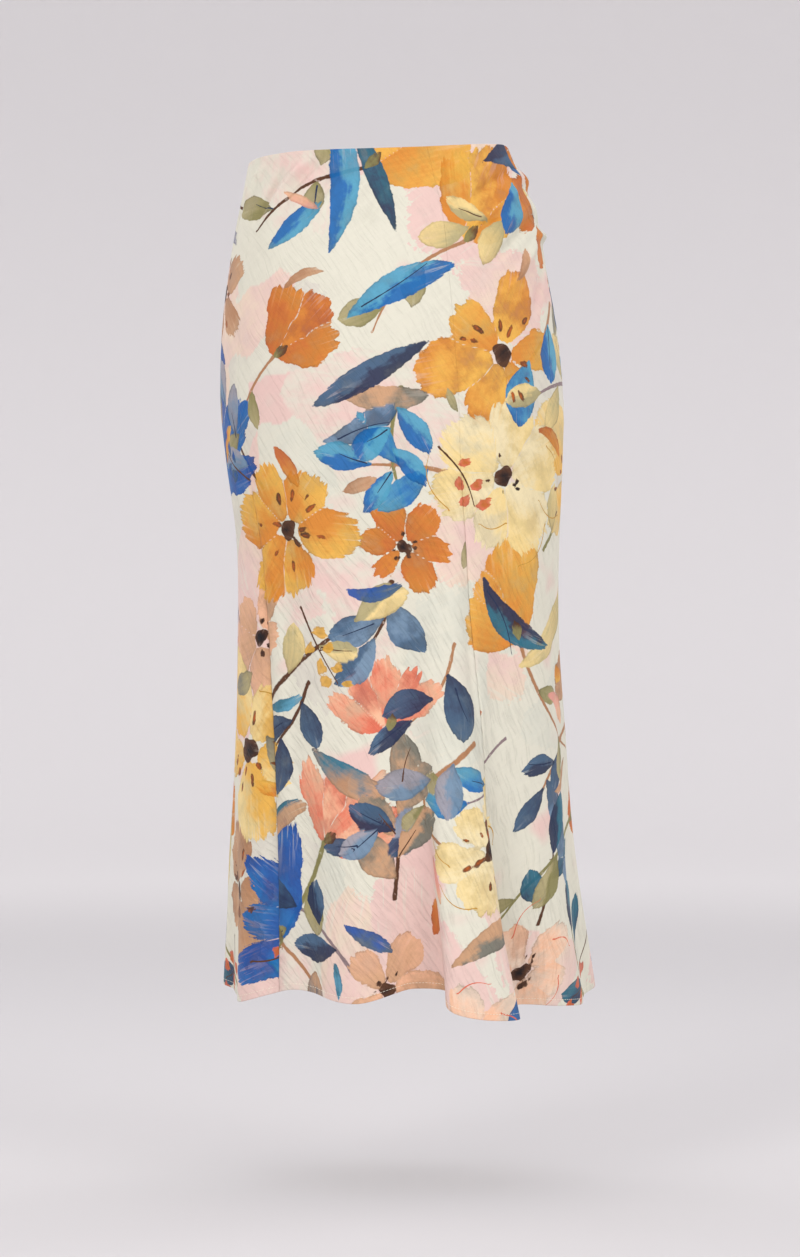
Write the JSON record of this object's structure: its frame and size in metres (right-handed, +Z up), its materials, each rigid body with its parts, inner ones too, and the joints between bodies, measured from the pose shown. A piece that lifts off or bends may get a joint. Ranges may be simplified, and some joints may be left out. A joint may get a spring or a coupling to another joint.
{
  "type": "midi skirt",
  "caption": "Midi skirt of thin woven cloth in its worn form: close at the waist and hip, flared in soft flutes to a narrow turned hem, with an open hollow from waist to hem",
  "frame": {"origin": "the middle of the waist opening, level with the waist edge, where the wearer's waist holds the skirt", "axes": "+Z up, +Y the wearer's front, +X the wearer's right; the back faces -Y"},
  "size_m": [0.3758, 0.3491, 0.8564],
  "materials": {
    "printed_cloth": "light slubby crepe weave, matte with a slight sheen, with a painterly floral print"
  },
  "bodies": {
    "root": {"back_left_panel": "printed_cloth", "back_center_panel": "printed_cloth", "back_right_panel": "printed_cloth", "front_panel": "printed_cloth"}
  },
  "joints": []
}
